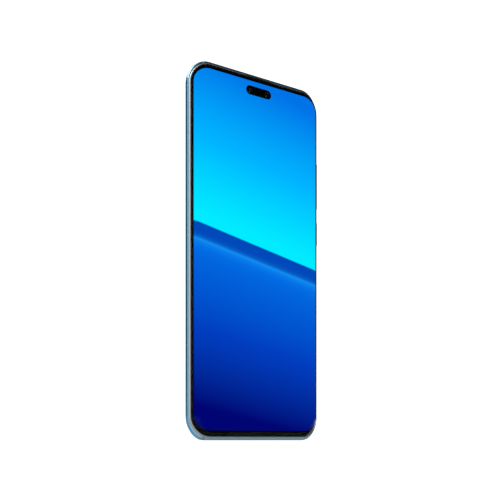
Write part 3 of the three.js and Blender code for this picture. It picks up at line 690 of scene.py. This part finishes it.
def sheet_metal(name, dark, light, grain, roughness):
    """Rolled or drawn metal: long faint streaks in its colour and its gloss"""
    material, shader = start_finish(name, {"Metallic": 1.0})
    where = add(material, "TexCoord", {})
    streaked = add(material, "Mapping", {"Vector": where.outputs["Object"], "Scale": (1, 1, 0.08)})
    streak = add(material, "TexNoise", {
        "Vector": streaked.outputs[0], "Scale": 1000 / grain, "Detail": 4.0,
    })
    tone = add(material, "ValToRGB", {"Fac": streak.outputs["Fac"]})
    shades(tone, [(0.3, dark), (0.7, light)])
    rough = add(material, "MapRange", {
        "Value": streak.outputs["Fac"], "To Min": roughness - 0.08, "To Max": roughness + 0.1,
    })
    bump = add(material, "Bump", {"Height": streak.outputs["Fac"], "Strength": 0.1, "Distance": 0.00002})
    wire(material, shader, {
        "Base Color": tone.outputs["Color"],
        "Roughness": rough.outputs["Result"],
        "Normal": bump.outputs["Normal"],
    })
    return material


stainless = sheet_metal("drawn stainless steel", "#a9abad", "#c6c8ca", 0.3, 0.3)
gold_plate = sheet_metal("gold plate", "#d9a54a", "#e8ba62", 0.3, 0.25)

SHELL_HALF, SHELL_WALL, SHELL_LENGTH = (4.4, 1.55), 0.27, 7.2
shell = make("usb_shell_drawn", (
    *stack("end", (0, PORT_DEPTH), SHELL_HALF, 1.55, [
        (0.06, 0.15), (0, 0.21), (0, SHELL_LENGTH), (SHELL_WALL + 0.3, SHELL_LENGTH),
        (SHELL_WALL + 0.3, SHELL_LENGTH - 0.6), (SHELL_WALL, SHELL_LENGTH - 0.6),
        (SHELL_WALL, 0.21), (SHELL_WALL - 0.06, 0.15),
    ], 10, ring=True), stainless))
fit(shell, "phone_body", "steel", "usb_shell")

tongue_shapes = [(
    *stack("end", (0, PORT_DEPTH), (3.3, 0.35), 0.12, eased((1, SHELL_LENGTH - 0.65), 0.1, 0), 4),
    camera_black,
)]
for contact in range(12):
    x = (contact - 5.5) * 0.5
    for face in (-1, 1):
        tongue_shapes.append((
            *stack("end", (x, PORT_DEPTH + face * 0.35), (0.13, 0.03), 0.02, [(0, 1.3), (0, 5.5)], 1),
            gold_plate,
        ))
tongue = make("usb_tongue_contacts", *tongue_shapes)
fit(tongue, "phone_body", "black_plastic", "usb_tongue")


# Card tray: a lacquered face flush with the frame on a thin moulded frame with a card-shaped
# seat. A rubber seal behind the face keeps out dust, and the whole tray slides out downwards.

tray = make(
    "sim_tray_seat",
    (*stack("end", (TRAY_X, PORT_DEPTH), (6.6, 0.65), 0.2, eased((1.4, 20.5), 0, 0.2), 4), camera_black),
)
carve(tray, [
    stack("front", (TRAY_X, 11.7), (4.2, 6), 0.6, [(0, 1), (0, 6)], 4),
    stack("front", (TRAY_X, 11.9), (4.7, 6.6), 0.8, [(0, PORT_DEPTH - 0.2), (0, 6)], 4),
    stack("front", (TRAY_X + 5.7, 10.5), (0.5, 7), 0.3, [(0, 1), (0, 6)], 3),
])
fit(tray, "sim_tray", "black_plastic", "sim_tray")
tray_face = make("sim_tray_face", (
    *stack("end", (TRAY_X, PORT_DEPTH), TRAY_HALF, 1.0, eased((0.04, 1.5), 0.12, 0), 10), frame_lacquer))
fit(tray_face, "sim_tray", "frame_metal")

seal_rubber = moulded("black silicone rubber", "#17181a", "#232427", 0.5, 0.75)
seal = make("sim_seal_ring", (
    *stack("end", (TRAY_X, PORT_DEPTH), (7.35, 0.93), 0.93, [
        (0.08, 1.62), (0, 1.74), (0, 1.98), (0.08, 2.1), (0.26, 2.1), (0.26, 1.62),
    ], 8, ring=True), seal_rubber))
fit(seal, "sim_tray", "rubber", "sim_seal")


# Rear cover: moulded glass-filled sheet, curved over all four edges and lacquered teal. Its colour runs
# diagonally from deeper teal at the bottom, away from the camera island, to lighter teal at the top by the
# island, with a fine speckle, under a clear satin coat.

rear_lacquer, shader = start_finish("teal satin lacquer", {
    "IOR": 1.5,
    "Specular IOR Level": 0.25,
    "Coat Weight": 0.1,
    "Coat Roughness": 0.12,
})
where = add(rear_lacquer, "TexCoord", {})
flake = add(rear_lacquer, "TexNoise", {"Vector": where.outputs["Object"], "Scale": 3000.0, "Detail": 2.0})
lean = add(rear_lacquer, "Mapping", {"Vector": where.outputs["Object"], "Scale": (4.0, 0.0, 5.2)})
parts = add(rear_lacquer, "SeparateXYZ", {0: lean.outputs[0]})
slope = add(rear_lacquer, "Math", {0: parts.outputs["X"], 1: parts.outputs["Z"]}, operation="ADD")
speck = add(rear_lacquer, "MapRange", {"Value": flake.outputs["Fac"], "To Min": -0.05, "To Max": 0.05})
height = add(rear_lacquer, "Math", {0: slope.outputs[0], 1: speck.outputs["Result"]}, operation="ADD")
tone = add(rear_lacquer, "ValToRGB", {"Fac": height.outputs[0]})
shades(tone, [(0.0, "#0d5a80"), (0.5, "#12658c"), (1.0, "#19769d")])
rough = add(rear_lacquer, "MapRange", {"Value": flake.outputs["Fac"], "To Min": 0.28, "To Max": 0.36})
wire(rear_lacquer, shader, {"Base Color": tone.outputs["Color"], "Roughness": rough.outputs["Result"]})

COVER_SIDE, COVER_END, COVER_WALL = (4.4, 4.15, 4, 3.05), (2.4, 6.25, 1.7, 0.95), 0.7
BACK = 7.2
cover_sections = [
    ((6.2, BACK - COVER_WALL), (4, BACK - COVER_WALL)),
    *rolled(inside(COVER_SIDE, COVER_WALL), inside(COVER_END, COVER_WALL), 90, 0, 12, back=-1),
    *rolled(COVER_SIDE, COVER_END, 0, 90, 16, back=-1),
    ((6.2, BACK), (4, BACK)),
]
rear_cover = make("rear_cover_lacquered", (
    *joined([outline(section) for section in cover_sections]), rear_lacquer))
ISLAND = (18.2, 133.1)
ISLAND_HALF, ISLAND_RADIUS = (13.4, 18.1), 8.5
NECK_HALF, NECK_RADIUS = (12.2, 16.9), 7.3
carve(rear_cover, [stack("front", ISLAND, (12.35, 17.05), 7.45, [(0, 5.5), (0, 8)], 12)])
fit(rear_cover, "phone_body", "rear_glass", "rear_cover")


# Camera island: a milled aluminium block standing on the rear cover, lacquered like the frame.
# Two large lenses, a small one and the flash sit in it behind raised polished rings.

LENSES = [("main", 23, 141.6, 7.2, 5.7), ("wide", 23, 124.6, 7.2, 5.7), ("macro", 10.6, 141.6, 3.7, 2.5)]
FLASH = (10.6, 124.6)
RING_TOP = 9.0
island = make("camera_island_milled", (
    *stack("front", ISLAND, ISLAND_HALF, ISLAND_RADIUS, eased((7.26, 8.6), 0.1, 0.45, 6), 14),
    frame_lacquer,
))
carve(island, [
    stack("front", (x, z), (window, window), window, [(0.0, 6), (0.0, 10)], 16)
    for _, x, z, _, window in LENSES
] + [stack("front", FLASH, (2.8, 2.8), 2.8, [(0, 6), (0, 8.5), (-0.1, 8.6), (-0.1, 10)], 12)])
fit(island, "phone_body", "frame_metal", "camera_island")
neck = make("camera_island_neck", (
    *stack("front", ISLAND, NECK_HALF, NECK_RADIUS, [(0, 6.5), (0, 7.3)], 12), camera_black))
carve(neck, [
    stack("front", (x, z), (window - 0.6, window - 0.6), window - 0.6, [(0, 6), (0, 8)], 12)
    for _, x, z, _, window in LENSES
] + [stack("front", FLASH, (2.1, 2.1), 2.1, [(0, 6), (0, 8)], 10)])
fit(neck, "phone_body", "black_plastic")

polished_ring = sheet_metal("polished blue anodised ring", "#7fb0c8", "#9cc7da", 1.5, 0.16)
clear_window, shader = start_finish("sapphire-coated window glass", {
    "IOR": 1.6,
    "Transmission Weight": 1.0,
})
where = add(clear_window, "TexCoord", {})
haze = add(clear_window, "TexNoise", {"Vector": where.outputs["Object"], "Scale": 80.0})
polish = add(clear_window, "MapRange", {"Value": haze.outputs["Fac"], "To Min": 0.0, "To Max": 0.02})
wire(clear_window, shader, {"Roughness": polish.outputs["Result"]})

for name, x, z, ring, window in LENSES:
    collar = make(f"{name}_lens_ring", (
        *stack("front", (x, z), (ring, ring), ring, [
            (0, 8.5), (0, RING_TOP - 0.2), (0.06, RING_TOP - 0.06), (0.2, RING_TOP),
            (ring - window - 0.15, RING_TOP), (ring - window - 0.01, RING_TOP - 0.12),
            (ring - window - 0.01, 8.3), (ring - window + 0.5, 8.3), (ring - window + 0.5, 7.35),
            (ring - window - 0.01, 7.35), (ring - window - 0.01, 8.2), (0.3, 8.2),
        ], 16, ring=True), polished_ring))
    fit(collar, "phone_body", "frame_metal")
    glass = make(f"{name}_lens_window_glass", (
        *stack("front", (x, z), (window - 0.02, window - 0.02), window - 0.02,
               eased((8.36, 8.75), 0.03, 0.1), 16), clear_window))
    fit(glass, "phone_body", "lens_glass", f"{name}_lens_window")

# Main camera: its barrel floats in the housing on a voice coil, and moves 0.3 mm to focus.
housing = make("main_camera_body", (
    *stack("front", (23, 141.6), (6.2, 6.2), 0.8, eased((2.7, 6.2), 0.15, 0.15), 4), camera_black))
carve(housing, [stack("front", (23, 141.6), (3.95, 3.95), 3.95, [(0, 4.25), (0, 7)], 12)])
fit(housing, "phone_body", "black_plastic", "main_camera_housing")
barrel = make("main_lens_barrel_stepped", *lens_barrel(23, 141.6, 3.7, 7.85, 4.4, 1))
fit(barrel, "focus_lens", "black_plastic", "main_lens_barrel")
for name, x, z, half, radius in (("wide", 23, 124.6, 5, 3.2), ("macro", 10.6, 141.6, 3, 1.5)):
    camera = make(
        f"{name}_camera_module",
        (*stack("front", (x, z), (half, half), 0.6, eased((2.7, 6.2), 0.12, 0.12), 4), camera_black),
        *lens_barrel(x, z, radius, 7.85, 6.0, 1),
    )
    fit(camera, "phone_body", "black_plastic", f"{name}_camera")

# Flash: a clear moulded lens with fine rings, over a yellow phosphor.
flash_lens, shader = start_finish("moulded flash lens", {
    "IOR": 1.49,
    "Roughness": 0.12,
    "Coat Weight": 1.0,
    "Coat Roughness": 0.05,
})
where = add(flash_lens, "TexCoord", {})
flash_place = place(FLASH[0], 0, FLASH[1])
centred = add(flash_lens, "Mapping", {
    "Vector": where.outputs["Object"],
    "Scale": (1000, 0, 1000),
    "Location": (-flash_place[0] * 1000, 0, -flash_place[2] * 1000),
})
reach = add(flash_lens, "VectorMath", {0: centred.outputs[0]}, operation="LENGTH")
rings = add(flash_lens, "Math", {0: reach.outputs["Value"], 1: 2 * math.pi / 0.35}, operation="MULTIPLY")
ripple = add(flash_lens, "Math", {0: rings.outputs[0]}, operation="SINE")
spread = add(flash_lens, "MapRange", {"Value": reach.outputs["Value"], "From Max": 2.7})
tone = add(flash_lens, "ValToRGB", {"Fac": spread.outputs["Result"]})
shades(tone, [(0.2, "#e8c34a"), (0.45, "#f0e4b8"), (0.8, "#e9ebec")])
bump = add(flash_lens, "Bump", {"Height": ripple.outputs[0], "Strength": 0.4, "Distance": 0.00005})
wire(flash_lens, shader, {"Base Color": tone.outputs["Color"], "Normal": bump.outputs["Normal"]})
flash = make("flash_window_lens", (
    *stack("front", FLASH, (2.7, 2.7), 2.7, eased((8.36, 8.6), 0.02, 0.1), 14), flash_lens))
fit(flash, "phone_body", "lens_glass", "flash_window")


# Structure inside: the magnesium mid plate with its copper vapour chamber, the screws that
# hold the boards to it, and the glue line under the rear cover.

magnesium = sheet_metal("die-cast magnesium", "#9a9da1", "#b3b6ba", 1.2, 0.45)
copper = sheet_metal("rolled copper foil", "#b0673f", "#c98257", 0.8, 0.35)


def dress(node, finish):
    """Gives a CAD solid its finish"""
    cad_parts[node].data.materials.clear()
    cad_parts[node].data.materials.append(finish)


dress("mid_plate", magnesium)
dress("vapor_chamber", copper)
dress("display_backing", copper)
dress("nfc_coil", copper)
for row in ("upper", "lower"):
    for side_name in ("left", "right"):
        dress(f"screw_{row}_{side_name}", stainless)
dress("rear_gasket", seal_rubber)
dress("upper_bracket", camera_black)
dress("fingerprint_sensor", camera_black)


# Power: a pouch cell in black laminated film, with its lead on a polyimide ribbon like the
# ones that join the display, the keys and the two boards.

pouch, shader = start_finish("black laminated pouch film", {"Roughness": 0.35, "Coat Weight": 0.3})
where = add(pouch, "TexCoord", {})
crease = add(pouch, "TexNoise", {"Vector": where.outputs["Object"], "Scale": 180.0, "Detail": 5.0})
tone = add(pouch, "ValToRGB", {"Fac": crease.outputs["Fac"]})
shades(tone, [(0.35, "#1c1e21"), (0.65, "#2c2f33")])
bump = add(pouch, "Bump", {"Height": crease.outputs["Fac"], "Strength": 0.3, "Distance": 0.0001})
wire(pouch, shader, {"Base Color": tone.outputs["Color"], "Normal": bump.outputs["Normal"]})
dress("battery", pouch)

# Amber polyimide over copper tracks at a 0.6 mm pitch.
ribbon, shader = start_finish("polyimide ribbon", {"Roughness": 0.35, "Coat Weight": 0.4})
where = add(ribbon, "TexCoord", {})
tracks = add(ribbon, "TexWave", {
    "Vector": where.outputs["Object"], "Scale": 1000 / 0.6 / 20, "Distortion": 0.0,
}, wave_profile="SIN", bands_direction="X")
tone = add(ribbon, "ValToRGB", {"Fac": tracks.outputs["Fac"]})
shades(tone, [(0.45, "#4d2a0c"), (0.6, "#9a5b22")])
wire(ribbon, shader, {"Base Color": tone.outputs["Color"]})
for node in ("battery_lead", "display_flex", "interconnect_flex", "key_flex"):
    dress(node, ribbon)


# Boards: glass-epoxy circuit boards under green solder mask, with gold pads showing through
# it, and a drawn can over the processor.

solder_mask, shader = start_finish("green solder mask", {"Coat Weight": 0.5, "Coat Roughness": 0.15})
where = add(solder_mask, "TexCoord", {})
cells = add(solder_mask, "TexVoronoi", {
    "Vector": where.outputs["Object"], "Scale": 1000 / 2.2, "Randomness": 0.8,
}, distance="CHEBYCHEV")
tone = add(solder_mask, "ValToRGB", {"Fac": cells.outputs["Distance"]})
shades(tone, [(0.12, "#c59a4a"), (0.16, "#0e3a26"), (0.5, "#155036"), (0.9, "#0c3021")])
metal = add(solder_mask, "MapRange", {
    "Value": cells.outputs["Distance"], "From Min": 0.12, "From Max": 0.16, "To Min": 1.0, "To Max": 0.0,
})
wire(solder_mask, shader, {"Base Color": tone.outputs["Color"], "Metallic": metal.outputs["Result"]})
dress("main_board", solder_mask)
dress("sub_board", solder_mask)
dress("processor_shield", stainless)
dress("coax_cable", seal_rubber)


# Sound, touch and card gear: the loudspeaker box and its cone, the haptic motor, the earpiece,
# the card reader with its ejector, and the domes that click under the keys.

dress("speaker_box", camera_black)
dress("speaker_cone", seal_rubber)
dress("speaker_mesh", woven_steel)
for node in ("haptic_case", "haptic_mass", "earpiece_receiver", "sim_reader", "eject_rod", "eject_lever",
             "dome_volume_up", "dome_volume_down", "dome_power"):
    dress(node, stainless)


# Studio: a pale floor, a room that is white on its far left and dark elsewhere, so that the glass
# stays black, soft boxes at the left, above and behind, and the camera low on the phone's left.

FLOOR = 4
floor_mesh = bpy.data.meshes.new("floor")
floor_mesh.from_pydata([(-FLOOR, -FLOOR, 0), (FLOOR, -FLOOR, 0), (FLOOR, FLOOR, 0), (-FLOOR, FLOOR, 0)], [],
                       [(0, 1, 2, 3)])
floor = bpy.data.objects.new("floor", floor_mesh)
bpy.context.scene.collection.objects.link(floor)
floor_paint, shader = start_finish("white studio paper", {
    "Roughness": 0.9,
    "Specular IOR Level": 0.0,
    "Base Color": linear("#bcbcbc"),
    "Emission Color": linear("#ffffff"),
})
seen = add(floor_paint, "LightPath", {})
lift = add(floor_paint, "MapRange", {
    "Value": seen.outputs["Is Camera Ray"], "To Min": 0.25, "To Max": 0.85,
})
wire(floor_paint, shader, {"Emission Strength": lift.outputs["Result"]})
floor_mesh.materials.append(floor_paint)

world = bpy.data.worlds.new("studio")
bpy.context.scene.world = world
world.use_nodes = True
background = world.node_tree.nodes["Background"]
seen = add(world, "LightPath", {})
where = add(world, "TexCoord", {})
parts = add(world, "SeparateXYZ", {0: where.outputs["Generated"]})
turn = add(world, "MapRange", {"Value": parts.outputs["X"], "From Min": -0.6, "From Max": -0.92})
room = add(world, "Mix", {
    0: turn.outputs["Result"], 6: linear("#242628"), 7: linear("#ffffff"),
}, data_type="RGBA")
shown = add(world, "Mix", {
    0: seen.outputs["Is Camera Ray"], 6: room.outputs[2], 7: linear("#ffffff"),
}, data_type="RGBA")
wire(world, background, {"Color": shown.outputs[2], "Strength": 1.3})


def soft_box(name, at, target, size, power):
    """A rectangular soft light that faces a place"""
    light = bpy.data.lights.new(name, "AREA")
    light.shape = "RECTANGLE"
    light.size, light.size_y = size
    light.energy = power
    lamp = bpy.data.objects.new(name, light)
    lamp.location = at
    direction = [t - a for t, a in zip(target, at)]
    lamp.rotation_euler = Vector(direction).to_track_quat("-Z", "Y").to_euler()
    bpy.context.scene.collection.objects.link(lamp)


soft_box("left soft box", (-0.7, 0.1, 0.9), (0, 0, 0.08), (0.6, 0.6), 5)
soft_box("top soft box", (-0.3, 0.3, 1.0), (0, 0, 0.1), (0.7, 0.6), 2)
soft_box("rear soft box", (-0.1, 0.8, 0.9), (0, 0, 0.08), (0.8, 0.5), 4)

camera_data = bpy.data.cameras.new("camera")
camera_data.sensor_width = 36
camera_data.lens = 69.96
camera_data.shift_y = 0.3784
camera_data.clip_start = 0.01
camera = bpy.data.objects.new("camera", camera_data)
camera.location = (-0.2702, -0.3309, 0.0005)
camera.rotation_euler = (math.radians(90), 0, math.radians(-39.04))
bpy.context.scene.collection.objects.link(camera)
bpy.context.scene.camera = camera
bpy.context.scene.view_settings.view_transform = "Standard"
